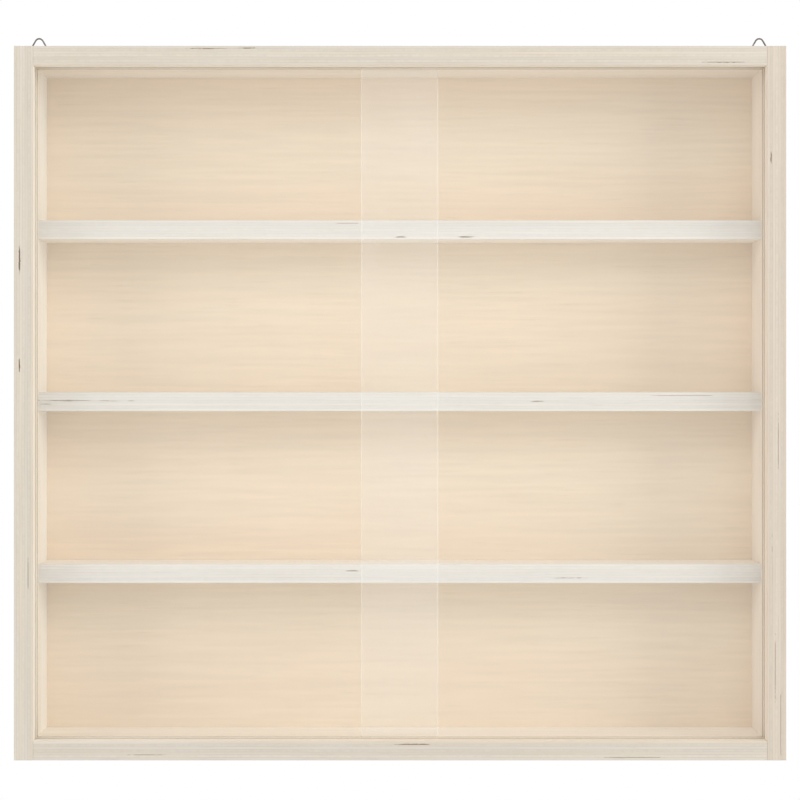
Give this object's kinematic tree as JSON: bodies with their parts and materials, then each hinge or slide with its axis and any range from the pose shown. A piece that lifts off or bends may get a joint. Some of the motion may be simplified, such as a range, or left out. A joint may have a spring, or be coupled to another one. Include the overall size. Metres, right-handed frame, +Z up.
{
  "type": "wall mounted showcase",
  "caption": "Shallow plywood wall showcase with shelves, clear sliding doors in grooves and wire hanging rings behind its top corners.",
  "frame": {"origin": "on the wall plane, at the middle of the top board's rear edge", "axes": "+X along the width, to the viewer's right; +Y into the wall, so the doors face -Y; +Z up"},
  "size_m": [0.6048, 0.085, 0.5737],
  "materials": {
    "ply_board": "bare, sanded poplar plywood with its cut edges showing",
    "ply_back": "bare thin plywood face veneer",
    "dowel_wood": "turned hardwood peg",
    "clear_door": "clear acrylic sheet with polished edges",
    "hanger_steel": "darkened steel wire and strap",
    "screw_steel": "zinc-plated steel"
  },
  "bodies": {
    "case": {"side_panel_left": "ply_board", "side_panel_right": "ply_board", "top_panel": "ply_board", "bottom_panel": "ply_board", "shelf_upper": "ply_board", "shelf_middle": "ply_board", "shelf_lower": "ply_board", "back_panel": "ply_back", "corner_dowels": "dowel_wood", "shelf_dowels": "dowel_wood", "corner_screws": "screw_steel", "back_panel_brads": "screw_steel", "hanger_strap_left": "hanger_steel", "hanger_strap_right": "hanger_steel", "hanger_screws_left": "screw_steel", "hanger_screws_right": "screw_steel"},
    "right_door": {"door_right_front": "clear_door"},
    "left_door": {"door_left_rear": "clear_door"},
    "left_ring": {"hanger_ring_left": "hanger_steel"},
    "right_ring": {"hanger_ring_right": "hanger_steel"}
  },
  "joints": [
    {"name": "right_door_slide", "type": "slide", "parent": "case", "child": "right_door", "axis": [1, 0, 0], "range_m": [-0.2585, 0]},
    {"name": "left_door_slide", "type": "slide", "parent": "case", "child": "left_door", "axis": [1, 0, 0], "range_m": [0, 0.2585]},
    {"name": "left_ring_swing", "type": "hinge", "parent": "case", "child": "left_ring", "pos_m": [-0.2925, -0.00175, 0.0097], "axis": [-1, 0, 0], "range_deg": [-93, 120]},
    {"name": "right_ring_swing", "type": "hinge", "parent": "case", "child": "right_ring", "pos_m": [0.2925, -0.00175, 0.0097], "axis": [-1, 0, 0], "range_deg": [-93, 120]}
  ]
}
